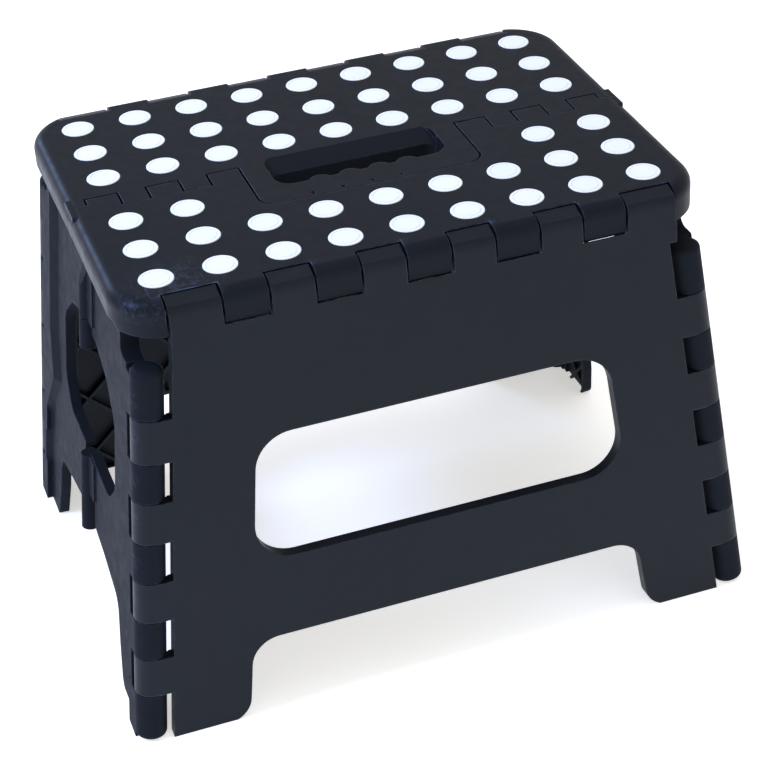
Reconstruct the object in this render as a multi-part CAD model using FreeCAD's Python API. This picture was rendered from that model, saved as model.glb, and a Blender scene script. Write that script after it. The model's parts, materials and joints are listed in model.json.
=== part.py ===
"""Folding step stool: a two-piece hinged top, two leaning side panels and two ends that fold in the middle.

Frame: millimetres, X along the stool's length, Y from front to back, Z up, origin on the floor at the centre.
The open stool is modelled. The back half of the stool is the front half turned half a turn about Z, apart
from the top, whose back half carries the handle.
"""
import FreeCAD
import Part
import math
import os
from FreeCAD import Matrix, Vector

os.makedirs("parts", exist_ok=True)

# ---- driving dimensions -------------------------------------------------------------------------------------
overall_height = 228.6          # floor to the top surface
top_length = 281.0
top_depth = 206.0
top_corner_radius = 27.0        # plan corners of the top
top_edge_radius = 6.5           # rolled upper edge of the top
rim_depth_centre = 12.4         # rim of the top beside the centre split
rim_depth_edge = 14.6           # rim of the top at the front and back
skin = 2.6                      # moulded wall behind every outer face
rim_wall = 2.4                  # flanges that border every moulding
rib_wall = 1.6                  # stiffening ribs on the hidden faces
rib_pitch = 26.0

front_lean = 3.86               # degrees that the front and back panels lean out
end_lean = 7.03                 # degrees that the end leaves lean out
panel_top = 16.0                # panel's upper edge below the top plane, down the face
panel_thickness = 6.4           # front and back panels, over their flanges
leaf_thickness = 5.4            # end leaves, over their flanges
leaf_recess = 3.2               # the leaf's field lies this far behind its corner strip
strip_width = 30.0              # corner strip of a leaf, beside the hinge axis
strip_point = 93.0              # height where the strip's edge comes to a point
strip_ramp = 7.0                # the strip's edge slopes down to the field over this width
leaf_gap = 1.2                  # each leaf's edge beside the middle line of the end
leaf_neck = 17.0                # leaf's edge inside the hinge axis above the first barrel
lens_half_width = 55.0          # opening in the middle of each end
lens_low = 92.0
lens_high = 154.0
arm_low = 48.0                  # height of the arm that joins the leaves under the opening
block_width = 13.0              # block that carries a centre barrel of a leaf
block_step = 1.2                # block stands back this far from the inner face of the leaf
end_setback = 6.9               # from the top's end to the outer face of the end leaves, at the top plane

hinge_inset = 7.7               # corner and edge hinge axes behind the outer faces; also the barrel radius
edge_axis_depth = 8.0           # front and back edge hinge axes below the top surface
centre_barrel_radius = 4.3      # barrels under the centre split of the top
end_barrel_radius = 4.3         # barrels on the centre line of the ends
end_axis_proud = 0.2            # centre axis of an end stands this far in front of the leaf's field
pin_radius = 1.6                # edge and corner hinge pins
small_pin_radius = 1.25         # centre pins
pin_clearance = 0.05            # radial, pin in its bore
barrel_gap = 0.5                # radial and end gap between a barrel and what turns round it
fold_travel = 83.0              # degrees that the top halves turn on the panels

edge_knuckle_pitch = 42.6       # six panel knuckles along each edge of the top
edge_knuckle_width = 21.1
edge_knuckle_outer_width = 25.0
edge_knuckle_shift = 2.2        # the row of knuckles is moved this far towards one end
corner_barrels = [(32.0, 55.7), (78.4, 98.0), (120.0, 140.3), (162.2, 182.2), (203.5, 229.2)]
corner_pin_span = (36.0, 221.0)
corner_slot_gap = 2.0           # open slot between a panel's edge and the leaf barrels beside it
upper_end_barrels = (153.5, 170.0, 202.0)
lower_end_barrels = (47.5, 70.0, 92.0)
end_pin_spans = ((157.0, 188.0), (51.0, 88.5))
fairing = 15.0                  # the uppermost end barrel slopes back to the leaf over this height

window_top = 76.2               # window of the front and back panels, down the face from the top plane
window_bottom = 143.3
window_half_width = 86.7
window_radius = 19.0
window_flare = 0.1193           # half width gained per millimetre down
arch_top = 186.6                # arch between the feet of the panels
arch_half_width = 100.1
arch_radius = 15.0
arch_flare = 0.1367             # half width gained per millimetre down
foot_radius = 13.0

barrel_start = 46.0             # inner end of the centre hinge of the top, from the middle
centre_pin_span = (48.0, 128.0)
tab_width = 14.8                # fingers of the front top half across the centre split
tab_reach = 5.0
tab_centres = (63.2, 93.0, 122.6)
finger_reach = 6.2              # fingers of the back top half the other way
handle_half_width = 54.6
handle_reach = 36.4             # handle bar's front edge in front of the split
handle_corner = 8.0
seam = 0.35                     # plain gaps between the top halves
groove = 1.1                    # wider grooves beside and behind the front half's fingers
slot_half_length = 43.0
slot_front = 20.8
slot_back = 1.0
scallop_radius = 6.0
scallop_centres = (-22.5, -7.8, 6.9, 21.0)
scallop_rise = 3.2
recess_back = 9.0               # sloping finger recess behind the slot
recess_depth = 4.5

dot_radius = 8.0
dot_pitch = 29.3
dot_rows = (23.2, 51.3, 79.7)
dot_columns = 4                 # columns each side of the middle one
dot_thickness = 1.5
dot_proud = 0.35
dot_clearance = 0.06

# ---- derived places -----------------------------------------------------------------------------------------
H = overall_height
half_length = top_length / 2
half_depth = top_depth / 2
lean_f = math.radians(front_lean)
lean_e = math.radians(end_lean)
end_face_x = half_length - end_setback
barrel_radius = hinge_inset
end_axis_inset = leaf_recess - end_axis_proud
centre_axis_depth = edge_axis_depth + hinge_inset - end_axis_inset
edge_axis_z = H - edge_axis_depth
centre_axis_z = H - centre_axis_depth
leaf_back = leaf_recess + leaf_thickness
bar_drop = 9.0                  # top's edge bar below the hinge axis
bar_reach = hinge_inset - 0.4   # top's edge bar in front of the hinge axis
bar_chamfer = 1.5
bar_back = 11.3                 # top's edge bar behind the hinge axis
knuckle_ridge = 5.5             # ridge of a panel's knuckle, in front of and above the hinge axis
knuckle_slope = 0.284           # the flat behind the ridge rises towards the top's surface
knuckle_lip = 1.9               # edge of the top's notch behind the hinge axis
rib_depth = 11.0                # ribs under the top reach this far below its surface
top_skin = 3.2
bar_sweep = math.hypot(bar_drop, bar_reach - bar_chamfer)
leaf_top = H - edge_axis_depth - bar_sweep - barrel_gap

normal_f = Vector(0, math.cos(lean_f), -math.sin(lean_f))      # inward normal of the front panel
normal_e = Vector(math.cos(lean_e), 0, -math.sin(lean_e))      # inward normal of the left leaves
up_f = Vector(0, math.sin(lean_f), math.cos(lean_f))
up_e = Vector(math.sin(lean_e), 0, math.cos(lean_e))
base_f = Vector(0, -half_depth, H)
base_e = Vector(-end_face_x, 0, H)
edge_axis_y = -half_depth + hinge_inset / math.cos(lean_f) - edge_axis_depth * math.tan(lean_f)


def corner_axis_point(z):
    """Point of the front left corner hinge axis at height z."""
    y = -half_depth - (H - z) * math.tan(lean_f) + hinge_inset / math.cos(lean_f)
    x = -end_face_x - (H - z) * math.tan(lean_e) + hinge_inset / math.cos(lean_e)
    return Vector(x, y, z)


corner_top = corner_axis_point(H)
corner_dir = (corner_axis_point(0) - corner_top).normalize()
corner_slope_x = abs(corner_dir.x / corner_dir.z)
corner_slope_y = abs(corner_dir.y / corner_dir.z)


# ---- small helpers ------------------------------------------------------------------------------------------
def box(x0, y0, z0, x1, y1, z1):
    return Part.makeBox(x1 - x0, y1 - y0, z1 - z0, Vector(x0, y0, z0))


def rod(start, direction, radius, length):
    return Part.makeCylinder(radius, length, start, direction)


def fuse(shapes):
    shapes = [s for s in shapes if s is not None]
    result = shapes[0]
    if len(shapes) > 1:
        result = result.multiFuse(shapes[1:])
    return result.removeSplitter()


def rounded_wire(points, radii):
    """Closed wire through 2D points (x, z) on the plane y = 0, each corner rounded by its radius."""
    corners = [Vector(x, 0, z) for x, z in points]
    count = len(corners)
    starts, ends, mids = [], [], []
    for i, corner in enumerate(corners):
        before = (corners[i - 1] - corner)
        after = (corners[(i + 1) % count] - corner)
        turn = before.getAngle(after)
        radius = radii[i] if isinstance(radii, (list, tuple)) else radii
        if radius <= 0:
            starts.append(corner)
            ends.append(corner)
            mids.append(None)
            continue
        back = radius / math.tan(turn / 2)
        a = corner + before.normalize() * back
        b = corner + after.normalize() * back
        middle = (before + after).normalize()
        mids.append(corner + middle * (radius / math.sin(turn / 2) - radius))
        starts.append(a)
        ends.append(b)
    edges = []
    for i in range(count):
        if mids[i] is not None:
            edges.append(Part.Arc(starts[i], mids[i], ends[i]).toShape())
        nxt = starts[(i + 1) % count]
        if (nxt - ends[i]).Length > 1e-6:
            edges.append(Part.makeLine(ends[i], nxt))
    return Part.Wire(edges)


def prism(points, radii, y0, y1):
    """Solid over a rounded outline (x, z), from y0 to y1."""
    face = Part.Face(rounded_wire(points, radii))
    face.translate(Vector(0, y0, 0))
    return face.extrude(Vector(0, y1 - y0, 0))


def bar_along_x(profile, x0, x1):
    """Solid with a (y, z) profile, from x0 to x1."""
    corners = [Vector(x0, y, z) for y, z in profile]
    wire = Part.makePolygon(corners + corners[:1])
    return Part.Face(wire).extrude(Vector(x1 - x0, 0, 0))


def lattice(x0, z0, x1, z1, y0, y1):
    """Crossed diagonal ribs over a rectangle, between two depths, as one shape."""
    reach = (x1 - x0) + (z1 - z0)
    middle_x = (x0 + x1) / 2
    middle_z = (z0 + z1) / 2
    step = rib_pitch * math.sqrt(2)
    count = int(reach / 2 / step)
    directions = []
    for side in (45, -45):
        ribs = []
        for i in range(-count, count + 1):
            rib = box(-reach / 2, y0, -rib_wall / 2, reach / 2, y1, rib_wall / 2)
            rib.rotate(Vector(0, 0, 0), Vector(0, 1, 0), side)
            rib.translate(Vector(middle_x + i * step, 0, middle_z))
            ribs.append(rib)
        directions.append(Part.makeCompound(ribs))
    return directions[0].fuse(directions[1])


def placed(shape, x_axis, y_axis, z_axis, base):
    """Shape moved from its own frame into the stool's frame."""
    matrix = Matrix(x_axis.x, y_axis.x, z_axis.x, base.x,
                    x_axis.y, y_axis.y, z_axis.y, base.y,
                    x_axis.z, y_axis.z, z_axis.z, base.z, 0, 0, 0, 1)
    moved = shape.copy()
    moved.transformShape(matrix, False)
    return moved


def turned(shape):
    """Half a turn about the stool's vertical middle line."""
    copy = shape.copy()
    copy.rotate(Vector(0, 0, 0), Vector(0, 0, 1), 180)
    return copy


def mirrored_x(shape):
    return shape.mirror(Vector(0, 0, 0), Vector(1, 0, 0))


def mirrored_y(shape):
    return shape.mirror(Vector(0, 0, 0), Vector(0, 1, 0))


def one_solid(shape):
    """Largest solid of a shape, without seams between coplanar faces."""
    solids = sorted(shape.Solids, key=lambda s: -s.Volume)
    return solids[0]


def export(name, shape):
    shape.exportStep("parts/" + name + ".step")
    print(name, len(shape.Solids), round(shape.Volume / 1000, 2), shape.isValid())


# ---- edge hinges of the top ---------------------------------------------------------------------------------
def edge_knuckles():
    """Spans in X of the front panel's six knuckles."""
    spans = []
    for i in range(6):
        centre = (i - 2.5) * edge_knuckle_pitch + edge_knuckle_shift
        low = centre - edge_knuckle_width / 2
        high = centre + edge_knuckle_width / 2
        if i == 0:
            low = high - edge_knuckle_outer_width
        if i == 5:
            high = low + edge_knuckle_outer_width
        spans.append((low, high))
    return spans


def edge_gaps():
    """Spans in X between the front panel's knuckles, where the top's bar turns."""
    spans = edge_knuckles()
    gaps = [(-half_length, spans[0][0])]
    for left, right in zip(spans, spans[1:]):
        gaps.append((left[1], right[0]))
    gaps.append((spans[-1][1], half_length))
    return gaps


def edge_cylinder(x0, x1, radius):
    return rod(Vector(x0, edge_axis_y, edge_axis_z), Vector(1, 0, 0), radius, x1 - x0)


pin_end = edge_knuckles()[-1][1] + 6.0
pin_start = edge_knuckles()[0][0] - 6.0


# ---- front and back panels ----------------------------------------------------------------------------------
face_length = H / math.cos(lean_f)
slot_offset = hinge_inset + corner_slot_gap


def corner_x_on_face(v):
    """Half width of the corner hinge axis on the panel, v down the face."""
    return -corner_top.x + corner_slope_x * v * math.cos(lean_f)


def on_front(shape):
    return placed(shape, Vector(1, 0, 0), normal_f, up_f, base_f)


def panel_region(inset, y0, y1):
    """Panel without hinges: outer outline, window and arch, all moved inwards by the inset."""
    top = panel_top + inset
    bottom = face_length + 1.0 - inset
    side = slot_offset + inset

    def edge(v):
        return corner_x_on_face(v) - side

    def arch(v):
        return arch_half_width + arch_flare * (v - arch_top) + inset

    arch_v = arch_top - inset
    outline = [(-edge(top), -top), (edge(top), -top), (edge(bottom), -bottom), (arch(bottom), -bottom),
               (arch(arch_v), -arch_v), (-arch(arch_v), -arch_v), (-arch(bottom), -bottom),
               (-edge(bottom), -bottom)]
    foot = max(foot_radius - inset, 1.0)
    radii = [0, 0, 0, foot, arch_radius + inset, arch_radius + inset, foot, 0]
    solid = prism(outline, radii, y0, y1)
    high = window_half_width + inset
    low = high + window_flare * (window_bottom - window_top)
    window = [(-high, -window_top + inset), (high, -window_top + inset),
              (low, -window_bottom - inset), (-low, -window_bottom - inset)]
    return solid.cut(prism(window, window_radius + inset, y0 - 1, y1 + 1))


def corner_rod(v0, v1, radius):
    """Length of the front left corner hinge, between two distances down the panel's face."""
    z0 = H - v0 * math.cos(lean_f)
    z1 = H - v1 * math.cos(lean_f)
    start = corner_axis_point(z0)
    return rod(start, corner_dir, radius, (corner_axis_point(z1) - start).Length)


def rounded_rod(v0, v1, radius, end_v, rounding):
    """A corner barrel whose end at end_v is rounded."""
    barrel = corner_rod(v0, v1, radius)
    target = corner_axis_point(H - end_v * math.cos(lean_f))
    rims = []
    for edge in barrel.Edges:
        if edge.BoundBox.DiagonalLength > 1 and (edge.CenterOfMass - target).Length < 0.5 and edge.Closed:
            rims.append(edge)
    return barrel.makeFillet(rounding, rims)


def panel_barrel_spans():
    spans = []
    for upper, lower in zip(corner_barrels, corner_barrels[1:]):
        spans.append((upper[1] + barrel_gap, lower[0] - barrel_gap))
    return spans


def panel_web(v0, v1):
    """Bridge from the panel's left edge to its corner barrel, flush with the face."""
    inner = slot_offset + 3
    outline = [(-corner_x_on_face(v0), -v0), (inner - corner_x_on_face(v0), -v0),
               (inner - corner_x_on_face(v1), -v1), (-corner_x_on_face(v1), -v1)]
    return on_front(prism(outline, 0, 0, panel_thickness))


def front_panel():
    region = panel_region(0, 0, panel_thickness)
    pocket = panel_region(rim_wall, skin, panel_thickness + 1)
    inner = panel_region(rim_wall / 2, skin - 0.2, panel_thickness - 0.4)
    ribs = lattice(-160, -face_length, 160, -panel_top, skin - 0.2, panel_thickness - 0.4).common(inner)
    pieces = [on_front(region.cut(pocket).fuse(ribs))]
    for low, high in edge_knuckles():
        web = on_front(box(low, 0, -panel_top - 10, high, panel_thickness, -edge_axis_depth))
        pieces += [edge_cylinder(low, high, barrel_radius), web]
    for v0, v1 in panel_barrel_spans():
        left = corner_rod(v0, v1, barrel_radius)
        web = panel_web(v0, v1)
        pieces += [left, web, mirrored_x(left), mirrored_x(web)]
    panel = fuse(pieces)

    cuts = []
    for low, high in edge_gaps():
        low_gap = barrel_gap if low > -half_length else 0
        high_gap = barrel_gap if high < half_length else 0
        cuts.append(edge_cylinder(low - low_gap, high + high_gap, bar_sweep + barrel_gap))
    for low, high in edge_knuckles():
        ridge_y = edge_axis_y - knuckle_ridge
        ridge_z = edge_axis_z + knuckle_ridge
        profile = [(ridge_y - 4, ridge_z - 4 * knuckle_slope), (ridge_y - 4, H + 9), (ridge_y + 16, H + 9),
                   (ridge_y + 16, ridge_z + 16 * knuckle_slope)]
        cuts.append(bar_along_x(profile, low - 1, high + 1))
    for v0, v1 in corner_barrels:
        below = 6 if v1 == corner_barrels[-1][1] else barrel_gap
        slot = corner_rod(v0 - barrel_gap, v1 + below, barrel_radius + barrel_gap)
        cuts += [slot, mirrored_x(slot)]
    cuts.append(edge_cylinder(pin_start - 1, pin_end + 1, pin_radius + pin_clearance))
    bore = corner_bore()
    cuts += [bore, mirrored_x(bore)]
    cuts.append(box(-300, -300, -60, 300, 300, 0))
    return one_solid(panel.cut(cuts))


def corner_bore():
    return corner_rod(corner_pin_span[0] - 0.3, corner_pin_span[1] + 0.3, pin_radius + pin_clearance)


# ---- end leaves ---------------------------------------------------------------------------------------------
face_length_e = H / math.cos(lean_e)


def leaf_w(z):
    """Distance down the end's face of a height z."""
    return (H - z) / math.cos(lean_e)


def corner_y(z):
    return -corner_axis_point(z).y


def on_left(shape):
    return placed(shape, Vector(0, -1, 0), normal_e, up_e, base_e)


def leaf_outline(first, inset):
    """Outline of a leaf as (x from the end's middle line, height, corner radius)."""
    edge = leaf_gap + inset
    top = leaf_top - inset
    neck_z = H - corner_barrels[0][0] - inset
    neck = leaf_neck + inset
    side = lens_half_width + inset
    corner_set = hinge_inset - 1.0 + inset
    foot_x, heel_x, heel_round = (72.0, 61.0, 10.0) if first else (81.0, 71.0, 6.0)
    heel_z = arm_low - 4.0 + inset
    outline = [(edge, top, 0), (corner_y(top) - neck, top, 0), (corner_y(neck_z) - neck, neck_z, 4),
               (corner_y(neck_z) - corner_set, neck_z, 0), (corner_y(-1) - corner_set, -1, 0),
               (foot_x + inset, -1, heel_round), (foot_x - 7.0 + inset, 22.0, 12),
               (heel_x + inset, heel_z, 12), (30.0, arm_low + 3.0 + inset, 6),
               (edge, arm_low + 7.0 + inset, 0), (edge, lens_low - inset, 0), (42.0, lens_low - inset, 12),
               (side, lens_low + 13, 12), (side, lens_high - 12 + inset / 2, 13),
               (38.0, lens_high + 3 + inset, 12), (16.0, lens_high + 10 + inset, 6),
               (edge, lens_high + 10 + inset, 0)]
    return outline


def leaf_prism(first, inset, y0, y1):
    outline = leaf_outline(first, inset)
    points = [(x, -leaf_w(z)) for x, z, r in outline]
    return prism(points, [r for x, z, r in outline], y0, y1)


def strip_wire(shift, y):
    top = corner_y(leaf_top) - strip_width + shift
    outline = [(top, -leaf_w(leaf_top + 2)), (200, -leaf_w(leaf_top + 2)), (200, -leaf_w(-4)),
               (corner_y(0) - 12 + shift / 2, -leaf_w(-4)), (corner_y(60) - 14 + shift / 2, -leaf_w(60)),
               (corner_y(strip_point) - strip_width - 8 + shift, -leaf_w(strip_point)),
               (corner_y(120) - strip_width + shift, -leaf_w(120))]
    wire = rounded_wire(outline, [0, 0, 0, 0, 10, 1.5, 20])
    wire.translate(Vector(0, y, 0))
    return wire


def strip_zone():
    """The part of a leaf, beside the corner, that is flush with the barrels; it ends in a point above the foot."""
    return Part.makeLoft([strip_wire(strip_ramp, 0), strip_wire(0, leaf_recess + 0.1)], True, True)


def end_axis_point(z):
    """Point of the left end's centre hinge axis, level with the end's face at height z."""
    return base_e - up_e * leaf_w(z) + normal_e * end_axis_inset


def end_rod(z_low, z_high, radius):
    start = end_axis_point(z_high)
    end = end_axis_point(z_low)
    return rod(start, end - start, radius, (end - start).Length)


def end_barrel_spans(first):
    """Heights of a leaf's own centre barrels, and of the other leaf's."""
    own = [upper_end_barrels[1:], lower_end_barrels[:0:-1][::-1]]
    other = [upper_end_barrels[:2], lower_end_barrels[:2]]
    if first:
        return own, other
    return other, own


def left_leaf(first):
    """Left leaf in front of the middle line: the first has the tight centre bores, the second the open ones."""
    low = leaf_recess + skin
    field = leaf_prism(first, 0, leaf_recess, leaf_back)
    pocket = leaf_prism(first, rim_wall, low, leaf_back + 1)
    inner = leaf_prism(first, rim_wall / 2, low - 0.2, leaf_back - 0.4)
    ribs = lattice(0, -face_length_e, 120, -leaf_w(leaf_top), low - 0.2, leaf_back - 0.4).common(inner)
    strip = leaf_prism(first, 0, 0, leaf_recess + 0.1).common(strip_zone())
    pieces = [on_left(field.cut(pocket).fuse([ribs, strip]))]
    for v0, v1 in corner_barrels:
        end_v = v0 if v0 == corner_barrels[0][0] else v1
        rounded = end_v == v0 or v1 == corner_barrels[-1][1]
        barrel = rounded_rod(v0, v1, barrel_radius, end_v, 3.0) if rounded else corner_rod(v0, v1, barrel_radius)
        z0 = H - v0 * math.cos(lean_f)
        z1 = H - v1 * math.cos(lean_f)
        if rounded and end_v == v0:
            z0 -= 3.0
        web = on_left(prism([(corner_y(z0), -leaf_w(z0)), (corner_y(z1), -leaf_w(z1)),
                             (corner_y(z1) - 13, -leaf_w(z1)), (corner_y(z0) - 13, -leaf_w(z0))], 0, 0,
                            leaf_back - 1.0))
        pieces += [barrel, web]
    own, other = end_barrel_spans(first)
    for z_low, z_high in own:
        low_z = z_low + barrel_gap / 2
        high_z = z_high - barrel_gap / 2
        block = on_left(box(0, end_axis_inset - 1.0, -leaf_w(low_z), block_width, leaf_back - block_step,
                            -leaf_w(high_z)))
        pieces += [end_rod(low_z, high_z, end_barrel_radius), block]
    leaf = fuse(pieces)

    cuts = []
    for z_low, z_high in other:
        reach = end_barrel_radius + end_play(z_low) + 2.6 * barrel_gap
        low_z = z_low - barrel_gap / 2
        high_z = z_high + barrel_gap / 2
        cuts.append(on_left(box(-20, -20, -leaf_w(low_z), reach, 30, -leaf_w(high_z))))
    for v0, v1 in panel_barrel_spans():
        cuts.append(corner_rod(v0 - barrel_gap, v1 + barrel_gap, barrel_radius + barrel_gap))
    cuts.append(corner_bore())
    for z_low, z_high in end_pin_spans:
        if first:
            cuts.append(end_rod(z_low - 5, z_high + 0.3, small_pin_radius + pin_clearance))
        else:
            cuts.append(on_left(open_pivot_slot(z_low - 0.3, z_high + 5)))
    top = upper_end_barrels[2]
    proud = leaf_recess - end_axis_inset + end_barrel_radius
    slope = [(leaf_recess, -leaf_w(top)), (leaf_recess - proud, -leaf_w(top - fairing)),
             (-20, -leaf_w(top - fairing)), (-20, -leaf_w(top + 9)), (leaf_recess, -leaf_w(top + 9))]
    cuts.append(on_left(bar_along_x(slope, -20, end_barrel_radius + 1)))
    cuts.append(box(-300, -300, -60, 300, 300, 0))
    return one_solid(leaf.cut(cuts))


def turn(vector, axis, degrees):
    return FreeCAD.Rotation(axis, degrees).multVec(vector)


def pin_path(z):
    """Where the front leaf's centre axis goes in the back leaf's own (x, y), as the stool folds.

    The leaves turn in a fixed ratio to the top, as the model's couplings do, so this axis leaves
    the back leaf's own axis a little on the way, and is back on it when the stool is folded.
    """
    points = []
    length = corner_axis_point(z) - corner_top
    for step in range(0, 11):
        turn_top = fold_travel * step / 10
        turn_leaf = leaf_ratio * turn_top
        tilt = (centre_ratio / 2 - 1) * turn_top
        axis_point = end_axis_point(z) - corner_top
        moved = corner_top + turn(axis_point, corner_dir, turn_leaf)
        arm = Vector(0, -edge_axis_y, centre_axis_z - edge_axis_z)
        middle = Vector(0, edge_axis_y, edge_axis_z) + turn(arm, Vector(1, 0, 0), turn_top)
        normal = turn(Vector(0, 1, 0), Vector(1, 0, 0), -tilt)
        over = 2 * normal.dot(moved - middle)
        angle = math.radians(turn_leaf)
        points.append((over * math.cos(angle), over * math.sin(angle)))
    return points


def solve_ratios():
    """Turns of the leaf and of the top's centre hinge, per turn of the top on a panel, over the whole fold."""
    arm = Vector(0, -edge_axis_y, centre_axis_z - edge_axis_z)
    edge_point = Vector(0, edge_axis_y, edge_axis_z)
    middle = edge_point + turn(arm, Vector(1, 0, 0), fold_travel)
    low, high = 60.0, 100.0
    for _ in range(50):
        angle = (low + high) / 2
        a = corner_top + turn(end_axis_point(H) - corner_top, corner_dir, angle)
        b = corner_top + turn(end_axis_point(0) - corner_top, corner_dir, angle)
        direction = b - a
        normal = Vector(0, -direction.z, direction.y).normalize()
        if normal.y < 0:
            normal = normal * -1
        if normal.dot(a - middle) > 0:
            low = angle
        else:
            high = angle
    tilt = math.degrees(math.atan2(-normal.z, normal.y))
    return angle / fold_travel, 2 * (1 + tilt / fold_travel)


leaf_ratio, centre_ratio = solve_ratios()


def end_play(z):
    """Largest distance that the two leaves' centre axes are apart at a height."""
    return max(math.hypot(x, y) for x, y in pin_path(z))


def open_pivot_slot(low, high):
    """Bore of the leaf whose centre hinge is left open: room for the pin along its path, in the leaf's frame."""
    room = small_pin_radius + 2 * pin_clearance + 0.2
    path = pin_path(low)
    corners = []
    for x, y in path:
        for k in range(8):
            angle = math.radians(45 * k)
            corners.append((x + room * math.cos(angle), y + room * math.sin(angle)))
    hull = convex_hull(corners)
    top_point = end_axis_point(high)
    low_point = end_axis_point(low)
    solids = Part.makePolygon([Vector(x, y + end_axis_inset, -leaf_w(high)) for x, y in hull + hull[:1]])
    return Part.Face(solids).extrude(Vector(0, 0, leaf_w(high) - leaf_w(low)))


def convex_hull(points):
    points = sorted(set((round(x, 4), round(y, 4)) for x, y in points))

    def half(sequence):
        chain = []
        for p in sequence:
            while len(chain) > 1:
                (ax, ay), (bx, by) = chain[-2], chain[-1]
                if (bx - ax) * (p[1] - ay) - (by - ay) * (p[0] - ax) > 1e-6:
                    break
                chain.pop()
            chain.append(p)
        return chain[:-1]
    return half(points) + half(points[::-1])


# ---- top halves ---------------------------------------------------------------------------------------------
def on_top(shape):
    """From (x, depth below the top, y) to the stool's frame."""
    return placed(shape, Vector(1, 0, 0), Vector(0, 0, -1), Vector(0, 1, 0), Vector(0, 0, H))


def plan_prism(points, radii, d0, d1):
    """Solid over a plan outline (x, y), between two depths below the top surface."""
    return on_top(prism(points, radii, d0, d1))


def plan_box(x0, y0, x1, y1, d0, d1):
    return box(x0, y0, H - d1, x1, y1, H - d0)


def top_blank(depth):
    """Rounded rectangle of the whole top with its upper edge rolled over."""
    corners = [(-half_length, -half_depth), (half_length, -half_depth), (half_length, half_depth),
               (-half_length, half_depth)]
    blank = plan_prism(corners, top_corner_radius, 0, depth)
    rims = [e for e in blank.Edges if e.BoundBox.ZMin > H - 0.01]
    return blank.makeFillet(top_edge_radius, rims)


def tab_spans():
    """Spans in |x| of the front half's fingers over the split."""
    spans = [(c - tab_width / 2, c + tab_width / 2) for c in tab_centres]
    spans[0] = (handle_half_width + groove, spans[0][1])
    return spans


def finger_spans():
    """Spans in |x| of the back half's fingers between them."""
    tabs = tab_spans()
    spans = [(a[1] + groove, b[0] - groove) for a, b in zip(tabs, tabs[1:])]
    return [(barrel_start, handle_half_width)] + spans


def both_sides(spans):
    return [(-b, -a) for a, b in spans[::-1]] + list(spans)


def front_zone(inset):
    """Plan outline of the front half: fingers over the split and the cut-out for the handle."""
    split = -seam / 2
    handle_x = handle_half_width + groove
    handle_y = -handle_reach - seam
    finger_y = -finger_reach - seam
    right = [(handle_x, handle_y), (handle_x, tab_reach)]
    tabs = tab_spans()
    for i, (low, high) in enumerate(tabs):
        if i:
            right += [(low, finger_y), (low, tab_reach)]
        right.append((high, tab_reach))
        right.append((high, finger_y if i < len(tabs) - 1 else split))
    right.append((200, split))
    left = [(-x, y) for x, y in right[::-1]]
    outline = left + right + [(200, -200), (-200, -200)]
    radii = [0] * len(outline)
    radii[len(left) - 1] = handle_corner + seam
    radii[len(left)] = handle_corner + seam
    return outline, radii


def half_base(blank, ribs_depth):
    """Front half of the top without its centre edge: shell, ribs and edge bar, up to the middle line."""
    half = blank.common(box(-200, -200, H - 30, 200, 0, H + 5))
    slope = (rim_depth_edge - rim_depth_centre) / half_depth
    under = bar_along_x([(1, H - rim_depth_centre), (-half_depth - 5, H - rim_depth_edge - slope * 5),
                         (-half_depth - 5, H - 40), (1, H - 40)], -200, 200)
    half = half.cut(under)
    inner_radius = top_corner_radius - rim_wall
    side = half_length - rim_wall
    front = edge_axis_y + bar_back
    pocket = plan_prism([(-side, front - 20), (side, front - 20), (side, 30), (-side, 30)],
                        [inner_radius, inner_radius, 0, 0], top_skin, 40)
    pocket = pocket.common(box(-200, front, H - 40, 200, 5, H))
    half = half.cut(pocket)
    ribs = on_top(lattice(-side, front, side, 0, top_skin - 0.2, ribs_depth))
    zone = box(-side - 1, front - 1, H - 30, side + 1, -finger_reach - seam, H)
    ribs = ribs.common(zone.common(blank_inside(rim_wall / 2)))
    bar = bar_along_x([(-bar_reach, -0.5), (-bar_reach, bar_chamfer - bar_drop), (bar_chamfer - bar_reach, -bar_drop),
                       (bar_back - 2, -bar_drop), (bar_back, 2 - bar_drop), (bar_back, 5), (0, 5)], -200, 200)
    bar.translate(Vector(0, edge_axis_y, edge_axis_z))
    plan = plan_prism([(-half_length, -half_depth), (half_length, -half_depth), (half_length, 50),
                       (-half_length, 50)], [top_corner_radius, top_corner_radius, 0, 0], top_edge_radius, 40)
    return half.fuse([ribs, bar.common(plan)])


def blank_inside(inset):
    side = half_length - inset
    front = half_depth - inset
    return plan_prism([(-side, -front), (side, -front), (side, 50), (-side, 50)],
                      [top_corner_radius - inset, top_corner_radius - inset, 0, 0], 0, 40)


def knuckle_notches():
    """Room round the panel's knuckles in the front edge of the top."""
    cuts = []
    for low, high in edge_knuckles():
        x0 = low - barrel_gap
        x1 = high + barrel_gap
        cuts.append(edge_cylinder(x0, x1, barrel_radius + barrel_gap))
        cuts.append(box(x0, -half_depth - 20, H - 40, x1, edge_axis_y + 0.1, H + 5))
        cuts.append(box(x0, edge_axis_y - 1, edge_axis_z, x1, edge_axis_y + knuckle_lip, H + 5))
        cuts.append(box(x0, edge_axis_y - 1, H - 40, x1, edge_axis_y + 5.0, edge_axis_z - 5.0))
    cuts.append(edge_cylinder(pin_start - 0.3, pin_end + 0.3, pin_radius + pin_clearance))
    return cuts


def centre_rod(x0, x1, radius):
    return rod(Vector(x0, 0, centre_axis_z), Vector(1, 0, 0), radius, x1 - x0)


def centre_bores():
    bores = []
    for x0, x1 in both_sides([(centre_pin_span[0] - 3, centre_pin_span[1] + 0.3)]):
        bores.append(centre_rod(x0, x1, small_pin_radius + pin_clearance))
    return bores


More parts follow.
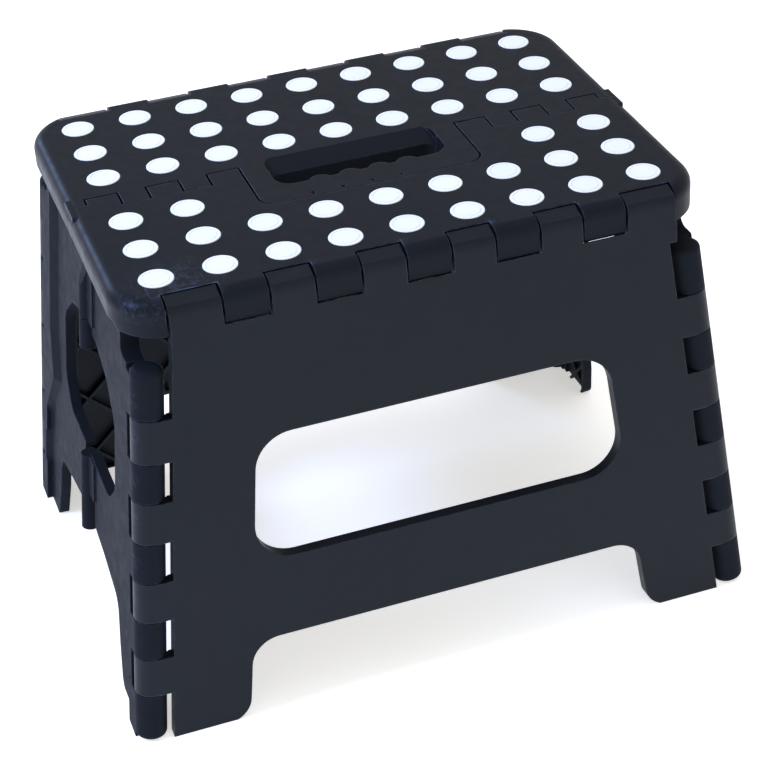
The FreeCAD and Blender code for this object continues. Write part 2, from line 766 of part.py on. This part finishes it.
def dot_places(front):
    places = []
    for row in dot_rows:
        for column in range(-dot_columns, dot_columns + 1):
            if front and row == dot_rows[0] and abs(column) < dot_columns - 1:
                continue
            places.append((column * dot_pitch, -row if front else row))
    return places


def dot_recesses(front):
    depth = dot_thickness
    return [Part.makeCylinder(dot_radius + dot_clearance, depth + 1, Vector(x, y, H - depth))
            for x, y in dot_places(front)]


def dots(front):
    """Grip dots: separate inlays with a raised, lightly grooved face."""
    height = dot_thickness + dot_proud
    dot = Part.makeCylinder(dot_radius, height)
    rim = [e for e in dot.Edges if e.BoundBox.ZMin > height - 0.01]
    dot = dot.makeFillet(0.3, rim)
    groove = Part.makeTorus(dot_radius * 0.78, 0.22, Vector(0, 0, height + 0.06))
    dot = dot.cut(groove)
    solids = []
    for x, y in dot_places(front):
        copy = dot.copy()
        copy.translate(Vector(x, y, H - dot_thickness))
        solids.append(copy)
    return Part.makeCompound(solids)


def top_front_half(blank):
    outline, radii = front_zone(0)
    zone = plan_prism(outline, radii, -5, 40)
    base = half_base(blank, rib_depth)
    tabs = []
    for low, high in both_sides(tab_spans()):
        tabs.append(plan_box(low, -finger_reach - seam - rim_wall, high, tab_reach, 0, centre_axis_depth))
        tabs.append(centre_rod(low, high, centre_barrel_radius))
    walls = []
    wall_y = -finger_reach - seam
    for low, high in both_sides([(handle_half_width + groove, half_length - 1)]):
        walls.append(plan_box(low, wall_y - rim_wall, high, wall_y, 0.5, rim_depth_centre))
    last = tab_spans()[-1][1]
    for low, high in both_sides([(last - 2, half_length - 1)]):
        walls.append(plan_box(low, wall_y - 0.5, high, -seam / 2, 0.5, rim_depth_centre))
    handle_x = handle_half_width + groove
    handle_y = handle_reach + seam
    ring = plan_prism([(-handle_x - rim_wall, -handle_y - rim_wall), (handle_x + rim_wall, -handle_y - rim_wall),
                       (handle_x + rim_wall, wall_y), (-handle_x - rim_wall, wall_y)],
                      [handle_corner + rim_wall, handle_corner + rim_wall, 0, 0], 0.5, rim_depth_centre)
    half = fuse([base.fuse(walls + [ring]).common(zone)] + tabs)
    cuts = knuckle_notches() + centre_bores() + dot_recesses(True)
    return one_solid(half.cut(cuts))


def slot_outline(grow):
    x = slot_half_length + grow
    front = -slot_front - grow
    back = -slot_back + grow
    return plan_prism([(-x, front), (x, front), (x, back), (-x, back)],
                      [9.0 + grow, 9.0 + grow, 6.0 + grow, 6.0 + grow], -5, 40)


def teardrop(x, y):
    return plan_prism([(x - 1.5, y + 1.0), (x + 1.5, y + 1.0), (x, y - 3.0)], [0.9, 0.9, 0.2], -1, 0.7)


def top_back_half(blank):
    split = seam / 2
    tab_y = tab_reach + groove
    base = turned(half_base(blank, rib_depth))
    keep = [plan_box(-200, tab_y, 200, 200, -5, 40)]
    last = tab_spans()[-1][1] + groove
    for low, high in both_sides([(last, 200)]):
        keep.append(plan_box(low, split, high, tab_y + 1, -5, 40))
    for low, high in both_sides(finger_spans()[1:]):
        keep.append(plan_box(low, split, high, tab_y + 1, -5, 40))
    keep.append(plan_box(-handle_half_width, 0, handle_half_width, tab_y + 1, -5, 40))
    body = base.common(fuse(keep))
    walls = []
    for low, high in both_sides([(0, half_length - 1)]):
        walls.append(plan_box(low, tab_y, high, tab_y + rim_wall, 0.5, rim_depth_centre))
    for low, high in both_sides([(last, half_length - 1)]):
        walls.append(plan_box(low, split, high, tab_y + 0.5, 0.5, rim_depth_centre))
    fingers = []
    for low, high in both_sides(finger_spans()):
        fingers.append(plan_box(low, -finger_reach, high, tab_y + rim_wall, 0, centre_axis_depth))
        fingers.append(centre_rod(low, high, centre_barrel_radius))
    bar_x = handle_half_width
    tongue = plan_prism([(-bar_x, -handle_reach), (bar_x, -handle_reach), (bar_x, tab_y + rim_wall),
                         (-bar_x, tab_y + rim_wall)], [handle_corner, handle_corner, 0, 0], 0, rim_depth_centre)
    hollow_x = bar_x - rim_wall
    hollow = plan_prism([(-hollow_x, -handle_reach + rim_wall), (hollow_x, -handle_reach + rim_wall),
                         (hollow_x, tab_y), (-hollow_x, tab_y)],
                        [handle_corner - rim_wall, handle_corner - rim_wall, 0, 0], top_skin, 40)
    hollow = hollow.cut(slot_outline(rim_wall))
    behind = plan_box(-bar_x + 1, -slot_back - 1, bar_x - 1, recess_back + 4, 1, recess_depth + skin)
    ribs = []
    for i in range(-3, 4):
        x = i * slot_half_length / 3
        ribs.append(plan_box(x - rib_wall / 2, -handle_reach + 1, x + rib_wall / 2, -slot_front - 1,
                             top_skin - 0.5, rim_depth_centre - 1))
    half = fuse([body] + walls + [tongue.cut(hollow), behind] + ribs + fingers)

    slope = recess_depth / (recess_back + slot_back)
    wedge = bar_along_x([(-slot_back - 3, H - recess_depth - 3 * slope), (recess_back, H), (recess_back, H + 3),
                         (-slot_back - 3, H + 3)], -half_length, half_length)
    x = slot_half_length
    wedge = wedge.common(plan_prism([(-x, -slot_back - 3), (x, -slot_back - 3), (x, recess_back + 2),
                                     (-x, recess_back + 2)], [0, 0, 10, 10], -5, 40))
    slot = slot_outline(0)
    bumps = [Part.makeCylinder(scallop_radius, 60, Vector(c, -slot_front - scallop_radius + scallop_rise, H - 40))
             for c in scallop_centres]
    slot = slot.cut(fuse(bumps))
    drops = [teardrop(c - 7.2, -slot_front - 12.4) for c in scallop_centres]
    notches = [turned(n) for n in knuckle_notches()]
    cuts = notches + centre_bores() + dot_recesses(False) + [wedge, slot] + drops
    return one_solid(half.cut(cuts))


# ---- hinge pins ---------------------------------------------------------------------------------------------
def pointed(pin_shape):
    """Pin with its two ends chamfered."""
    ends = [e for e in pin_shape.Edges if e.Closed and e.BoundBox.DiagonalLength < 8]
    return pin_shape.makeChamfer(0.4, ends)


def edge_pin():
    return pointed(edge_cylinder(pin_start, pin_end, pin_radius))


def corner_pin():
    return pointed(corner_rod(corner_pin_span[0], corner_pin_span[1], pin_radius))


def centre_pin():
    return pointed(centre_rod(centre_pin_span[0], centre_pin_span[1], small_pin_radius))


def end_pin(span):
    return pointed(end_rod(span[0], span[1], small_pin_radius))


# ---- write the parts ----------------------------------------------------------------------------------------
panel_shape = front_panel()
export("front_panel", panel_shape)
export("back_panel", turned(panel_shape))

first_leaf = left_leaf(True)
second_leaf = left_leaf(False)
export("left_front_leaf", first_leaf)
export("right_back_leaf", turned(first_leaf))
export("left_back_leaf", mirrored_y(second_leaf))
export("right_front_leaf", turned(mirrored_y(second_leaf)))

blank_shape = top_blank(24)
export("top_front_half", top_front_half(blank_shape))
export("top_back_half", top_back_half(blank_shape))
export("grip_dots_front", dots(True))
export("grip_dots_back", dots(False))

export("front_top_pin", edge_pin())
export("back_top_pin", turned(edge_pin()))
export("top_centre_pin_right", centre_pin())
export("top_centre_pin_left", turned(centre_pin()))
export("front_left_corner_pin", corner_pin())
export("front_right_corner_pin", mirrored_x(corner_pin()))
export("back_left_corner_pin", mirrored_y(corner_pin()))
export("back_right_corner_pin", turned(corner_pin()))
export("left_upper_end_pin", end_pin(end_pin_spans[0]))
export("left_lower_end_pin", end_pin(end_pin_spans[1]))
export("right_upper_end_pin", turned(end_pin(end_pin_spans[0])))
export("right_lower_end_pin", turned(end_pin(end_pin_spans[1])))
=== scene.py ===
import bmesh
import bpy
import json
import math
from mathutils import Matrix, Vector


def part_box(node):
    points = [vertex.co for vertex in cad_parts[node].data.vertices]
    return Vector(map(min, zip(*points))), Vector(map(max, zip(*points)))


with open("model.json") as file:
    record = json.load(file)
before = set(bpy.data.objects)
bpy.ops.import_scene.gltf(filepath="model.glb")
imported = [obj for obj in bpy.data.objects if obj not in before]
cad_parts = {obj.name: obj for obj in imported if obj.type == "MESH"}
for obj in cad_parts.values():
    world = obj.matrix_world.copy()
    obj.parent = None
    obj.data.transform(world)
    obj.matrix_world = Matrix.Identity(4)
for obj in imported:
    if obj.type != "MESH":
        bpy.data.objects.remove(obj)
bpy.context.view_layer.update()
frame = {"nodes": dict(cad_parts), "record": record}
record = frame["record"]
nodes = frame["nodes"]
scene = bpy.context.scene


# ---- camera: the photograph's angle ---------------------------------------------------------------------
def place_camera(position, azimuth, elevation, roll, lens):
    az, el = math.radians(azimuth), math.radians(elevation)
    forward = Vector((math.sin(az) * math.cos(el), math.cos(az) * math.cos(el), -math.sin(el)))
    right = Vector((math.cos(az), -math.sin(az), 0.0))
    up = right.cross(forward)
    turn = math.radians(roll)
    right, up = right * math.cos(turn) + up * math.sin(turn), up * math.cos(turn) - right * math.sin(turn)
    data = bpy.data.cameras.new("camera")
    data.sensor_width = 36.0
    data.lens = lens
    data.clip_start = 0.05
    data.clip_end = 50.0
    data.dof.use_dof = False
    camera = bpy.data.objects.new("camera", data)
    scene.collection.objects.link(camera)
    rows = [[right[i], up[i], -forward[i], position[i]] for i in range(3)] + [[0, 0, 0, 1]]
    camera.matrix_world = Matrix(rows)
    scene.camera = camera


camera_position = (-0.2620, -0.8688, 0.6940)
camera_azimuth, camera_elevation, camera_roll = 17.33, 33.56, -3.66      # degrees
camera_lens = 98.44                                                     # mm on a 36 mm sensor
place_camera(camera_position, camera_azimuth, camera_elevation, camera_roll, camera_lens)


# ---- light and floor --------------------------------------------------------------------------------------
def soft_light(name, position, target, size, power, colour):
    data = bpy.data.lights.new(name, "AREA")
    data.shape = "RECTANGLE"
    data.size, data.size_y = size
    data.energy = power
    data.color = colour
    light = bpy.data.objects.new(name, data)
    scene.collection.objects.link(light)
    direction = Vector(target) - Vector(position)
    light.location = position
    light.rotation_euler = direction.to_track_quat("-Z", "Y").to_euler()


scene.view_settings.view_transform = "Standard"
scene.view_settings.look = "None"
world = bpy.data.worlds.new("studio")
scene.world = world
world.use_nodes = True
backdrop = world.node_tree.nodes["Background"]
backdrop.inputs["Color"].default_value = (1.0, 1.0, 1.0, 1.0)
backdrop.inputs["Strength"].default_value = 0.66

soft_light("overhead", (0.1, 0.1, 1.8), (0, 0, 0.1), (2.0, 1.6), 3.0, (1.0, 1.0, 1.0))
soft_light("left_window", (-1.25, -0.05, 1.2), (-0.13, -0.08, 0.2), (0.32, 0.32), 18.0, (0.42, 0.56, 1.0))
soft_light("back_left_window", (-0.95, 1.7, 0.9), (-0.13, 0.0, 0.2), (0.6, 0.35), 14.0, (0.45, 0.60, 1.0))
soft_light("front_fill", (0.7, -1.8, 0.7), (0, 0, 0.12), (1.6, 1.0), 3.0, (0.97, 0.98, 1.0))


def make_floor():
    """A large pale sweep, flat under the stool."""
    mesh = bpy.data.meshes.new("studio_floor")
    bm = bmesh.new()
    bmesh.ops.create_grid(bm, x_segments=4, y_segments=4, size=6.0)
    bm.to_mesh(mesh)
    bm.free()
    floor = bpy.data.objects.new("studio_floor", mesh)
    floor.location = (0, 0, -0.0002)
    scene.collection.objects.link(floor)
    material = bpy.data.materials.new("floor_paper")
    material.use_nodes = True
    shader = material.node_tree.nodes["Principled BSDF"]
    shader.inputs["Base Color"].default_value = (0.93, 0.93, 0.935, 1.0)
    shader.inputs["Roughness"].default_value = 0.9
    shader.inputs["Specular IOR Level"].default_value = 0.1
    shader.inputs["Emission Color"].default_value = (1.0, 0.985, 0.95, 1.0)
    shader.inputs["Emission Strength"].default_value = 0.56
    floor.data.materials.append(material)


make_floor()


# ---- node material helpers --------------------------------------------------------------------------------
bevel_samples = 6


class Tree:
    """Short hand for building a node material in the row frame's metres."""

    def __init__(self, name):
        self.material = bpy.data.materials.new(name)
        self.material.use_nodes = True
        self.tree = self.material.node_tree
        self.shader = self.tree.nodes["Principled BSDF"]
        self.coord = self.tree.nodes.new("ShaderNodeTexCoord").outputs["Object"]

    def link(self, a, b):
        self.tree.links.new(a, b)

    def math(self, operation, a, b=None, clamp=False):
        node = self.tree.nodes.new("ShaderNodeMath")
        node.operation = operation
        node.use_clamp = clamp
        for socket, value in zip(node.inputs, (a, b)):
            if value is None:
                continue
            if isinstance(value, (int, float)):
                socket.default_value = value
            else:
                self.link(value, socket)
        return node.outputs[0]

    def scaled(self, scale, rotation=(0, 0, 0)):
        node = self.tree.nodes.new("ShaderNodeMapping")
        node.inputs["Scale"].default_value = scale
        node.inputs["Rotation"].default_value = rotation
        self.link(self.coord, node.inputs["Vector"])
        return node.outputs[0]

    def noise(self, scale, detail=2.0, rough=0.5, vector=None):
        node = self.tree.nodes.new("ShaderNodeTexNoise")
        node.inputs["Scale"].default_value = scale
        node.inputs["Detail"].default_value = detail
        node.inputs["Roughness"].default_value = rough
        self.link(vector or self.coord, node.inputs["Vector"])
        return node.outputs["Fac"]

    def remap(self, value, low, high, to_low=0.0, to_high=1.0):
        node = self.tree.nodes.new("ShaderNodeMapRange")
        node.clamp = True
        self.link(value, node.inputs["Value"])
        node.inputs["From Min"].default_value = low
        node.inputs["From Max"].default_value = high
        node.inputs["To Min"].default_value = to_low
        node.inputs["To Max"].default_value = to_high
        return node.outputs["Result"]

    def mix(self, factor, a, b):
        node = self.tree.nodes.new("ShaderNodeMix")
        node.data_type = "RGBA"
        self.link(factor, node.inputs["Factor"])
        for socket, value in ((node.inputs[6], a), (node.inputs[7], b)):
            if isinstance(value, tuple):
                socket.default_value = (*value, 1.0)
            else:
                self.link(value, socket)
        return node.outputs[2]

    def near(self, point, inner, outer):
        """1 within inner metres of a point, falling to 0 at outer."""
        node = self.tree.nodes.new("ShaderNodeVectorMath")
        node.operation = "DISTANCE"
        self.link(self.coord, node.inputs[0])
        node.inputs[1].default_value = point
        return self.remap(node.outputs["Value"], inner, outer, 1.0, 0.0)

    def bump(self, height, distance, strength=1.0, normal=None):
        node = self.tree.nodes.new("ShaderNodeBump")
        node.inputs["Distance"].default_value = distance
        node.inputs["Strength"].default_value = strength
        self.link(height, node.inputs["Height"])
        if normal is not None:
            self.link(normal, node.inputs["Normal"])
        return node.outputs["Normal"]

    def edges(self, radius):
        """(rounded normal, 1 on sharp edges and 0 on flats)"""
        bevel = self.tree.nodes.new("ShaderNodeBevel")
        bevel.samples = bevel_samples
        bevel.inputs["Radius"].default_value = radius
        geometry = self.tree.nodes.new("ShaderNodeNewGeometry")
        dot = self.tree.nodes.new("ShaderNodeVectorMath")
        dot.operation = "DOT_PRODUCT"
        self.link(bevel.outputs["Normal"], dot.inputs[0])
        self.link(geometry.outputs["Normal"], dot.inputs[1])
        return bevel.outputs["Normal"], self.remap(dot.outputs["Value"], 0.995, 0.86, 0.0, 1.0)


def scratches(tree, tilt, density):
    """Fine hairline scratches, slanting across every face: 1 on a scratch."""
    stretched = tree.scaled((density, density * 0.04, density), tuple(math.radians(a) for a in tilt))
    lines = tree.noise(1.0, 1.0, 0.4, stretched)
    return tree.remap(lines, 0.66, 0.72)


def plastic(name, base, wear_and_highlight_colour, roughness, specular, scuff_and_highlight_spots):
    """Moulded polypropylene: fine satin grain, faint flow marks, edges lightened to a pale blue that is partly
    wear and partly painted highlight, and lighter patches at the given spots, which are real scuffing at the
    scuffed corner and painted highlights at the corner rim, notch ends and column edges.
    """
    tree = Tree(name)
    flow = tree.noise(9.0, 3.0, 0.55)
    grain = tree.noise(2600.0, 2.0, 0.6)
    mottling = tree.noise(140.0, 4.0, 0.6)
    rounded, edge = tree.edges(0.0009)
    edge_break = tree.remap(tree.noise(260.0, 3.0, 0.7), 0.35, 0.7)
    # Pale blue lightening on every edge: partly edge wear, partly painted highlight.
    edge_wear_and_highlight = tree.math("MULTIPLY", edge, edge_break, True)
    scratch = tree.math("MAXIMUM", scratches(tree, (38, 24, 61), 700.0), scratches(tree, (-33, 41, -52), 900.0))
    # Spots of lighter marks: real scuffing at the scuffed corner, painted highlights at the corner rim, the notch
    # ends and the column edges.
    scuff_and_highlight_zone = None
    for point, inner, outer in scuff_and_highlight_spots:
        zone = tree.near(point, inner, outer)
        scuff_and_highlight_zone = zone if scuff_and_highlight_zone is None else tree.math("MAXIMUM", scuff_and_highlight_zone, zone)
    patch = tree.remap(tree.noise(55.0, 3.0, 0.65), 0.42, 0.62)
    amount = tree.math("ADD", tree.math("MULTIPLY", scuff_and_highlight_zone, patch), 0.004)
    # Lighter scratches, strongest at those spots, where they are partly painted highlight.
    marks = tree.math("MULTIPLY", scratch, amount, True)
    tone = tree.mix(tree.remap(flow, 0.3, 0.7), base, tuple(c * 1.16 for c in base))
    tone = tree.mix(tree.remap(mottling, 0.35, 0.75, 0.0, 0.35), tone, tuple(c * 0.84 for c in base))
    # Edges lighten more at the given spots: painted highlight there as well as wear.
    wear_and_highlight_strength = tree.math("ADD", tree.math("MULTIPLY", scuff_and_highlight_zone, 0.55), 0.24)
    tone = tree.mix(tree.math("MULTIPLY", edge_wear_and_highlight, wear_and_highlight_strength), tone, wear_and_highlight_colour)
    tone = tree.mix(tree.math("MULTIPLY", marks, 0.35), tone, wear_and_highlight_colour)
    # Cloudy lighter patches at the spots: real scuffing at the scuffed corner, painted highlight at the others.
    smear_and_highlight = tree.math("MULTIPLY", scuff_and_highlight_zone, tree.remap(tree.noise(340.0, 4.0, 0.75), 0.48, 0.72))
    tone = tree.mix(tree.math("MULTIPLY", smear_and_highlight, 0.22), tone, wear_and_highlight_colour)
    tree.link(tone, tree.shader.inputs["Base Color"])
    rough = tree.remap(mottling, 0.3, 0.7, roughness - 0.05, roughness + 0.06)
    rough = tree.math("ADD", rough, tree.math("MULTIPLY", marks, 0.15))
    rough = tree.math("SUBTRACT", rough, tree.math("MULTIPLY", edge_wear_and_highlight, 0.08), True)
    tree.link(rough, tree.shader.inputs["Roughness"])
    tree.shader.inputs["IOR"].default_value = 1.49
    tree.shader.inputs["Specular IOR Level"].default_value = specular
    tree.shader.inputs["Specular Tint"].default_value = (0.82, 0.90, 1.0, 1.0)
    normal = tree.bump(grain, 0.00006, 0.55, rounded)
    normal = tree.bump(flow, 0.0003, 0.25, normal)
    normal = tree.bump(tree.math("SUBTRACT", 1.0, marks), 0.00012, 0.6, normal)
    tree.link(normal, tree.shader.inputs["Normal"])
    return tree.material


def dot_rubber(name):
    """White inlay: matt, a little cool, with a hint of grime round its rim and light rubbing."""
    tree = Tree(name)
    cloud = tree.noise(48.0, 3.0, 0.6)
    speck = tree.noise(620.0, 2.0, 0.5)
    rounded, edge = tree.edges(0.0005)
    grime = tree.math("MULTIPLY", edge, tree.remap(tree.noise(170.0, 3.0, 0.6), 0.35, 0.75), True)
    tone = tree.mix(tree.remap(cloud, 0.3, 0.7), (0.90, 0.93, 0.97), (0.95, 0.965, 0.985))
    tone = tree.mix(tree.remap(speck, 0.66, 0.78, 0.0, 0.25), tone, (0.62, 0.66, 0.74))
    tone = tree.mix(tree.math("MULTIPLY", grime, 0.45), tone, (0.42, 0.46, 0.54))
    tree.link(tone, tree.shader.inputs["Base Color"])
    tree.link(tree.remap(cloud, 0.3, 0.7, 0.46, 0.62), tree.shader.inputs["Roughness"])
    tree.shader.inputs["Specular IOR Level"].default_value = 0.35
    tree.link(tree.bump(speck, 0.00005, 0.5, rounded), tree.shader.inputs["Normal"])
    return tree.material


def drawn_steel(name):
    tree = Tree(name)
    lines = tree.noise(1.0, 2.0, 0.5, tree.scaled((40.0, 2600.0, 2600.0)))
    tone = tree.mix(lines, (0.42, 0.42, 0.43), (0.62, 0.62, 0.63))
    tree.link(tone, tree.shader.inputs["Base Color"])
    tree.shader.inputs["Metallic"].default_value = 1.0
    tree.link(tree.remap(lines, 0.2, 0.8, 0.25, 0.45), tree.shader.inputs["Roughness"])
    tree.link(tree.bump(lines, 0.00002, 0.5), tree.shader.inputs["Normal"])
    return tree.material


top_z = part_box("top_front_half")[1][2]
corner = (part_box("top_front_half")[0][0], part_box("top_front_half")[0][1])
scuffed_corner = (corner[0] + 0.030, corner[1] + 0.016, top_z)
# Painted highlight: a lighter pale blue spot on the rolled front-left corner rim, standing for a gloss highlight.
corner_rim_highlight = (corner[0] + 0.0085, corner[1] + 0.0085, top_z - 0.002)
knuckle_count, knuckle_pitch, notch_shift = 6, 0.0426, 0.0137
# Painted highlights: small lighter pale blue spots at the right end of each knuckle notch along the front edge.
notch_end_highlights = [((i - (knuckle_count - 1) / 2) * knuckle_pitch + notch_shift, corner[1] + 0.0095, top_z)
              for i in range(knuckle_count)]
# Painted highlights: lighter pale blue spots along the left edge of the corner column, one at each barrel height.
column_heights = (0.183, 0.165, 0.143, 0.122, 0.101, 0.080)
column_slope_x, column_slope_y = 0.1233, 0.0675      # the corner column leans out by this much per metre
column_edge_highlights = [(corner[0] + 0.0065 - column_slope_x * (top_z - z),
                 corner[1] + 0.0066 - column_slope_y * (top_z - z), z) for z in column_heights]
column_highlight_zones = [(point, 0.001, 0.0062) for point in column_edge_highlights]

body_tone = (0.0088, 0.0108, 0.0150)
# Tone for edge wear and scuffing, made light and pale blue so it also serves as painted highlight colour.
wear_and_highlight_tone = (0.18, 0.23, 0.40)
finishes = {
    "top_plastic": plastic("top_plastic_pp", tuple(c * 0.95 for c in body_tone), wear_and_highlight_tone, 0.40, 0.085,
                           [(scuffed_corner, 0.004, 0.026), (corner_rim_highlight, 0.002, 0.010)]
                           + [(point, 0.0008, 0.0032) for point in notch_end_highlights]),
    "frame_plastic": plastic("frame_plastic_pp", tuple(c * 0.85 for c in body_tone), wear_and_highlight_tone, 0.42, 0.18,
                             column_highlight_zones),
    "leaf_plastic": plastic("leaf_plastic_pp", tuple(c * 1.2 for c in body_tone), wear_and_highlight_tone, 0.55, 0.03,
                            column_highlight_zones),
    "dot_rubber": dot_rubber("dot_white"),
    "pin_steel": drawn_steel("pin_drawn_steel"),
}
for part in record["subparts"]:
    item = nodes[part["node"]]
    item.data.materials.clear()
    duller = part["node"].endswith("_leaf")      # keeps the leaves from mirroring the bright floor at a flat angle
    item.data.materials.append(finishes["leaf_plastic" if duller else part["material_slot"]])
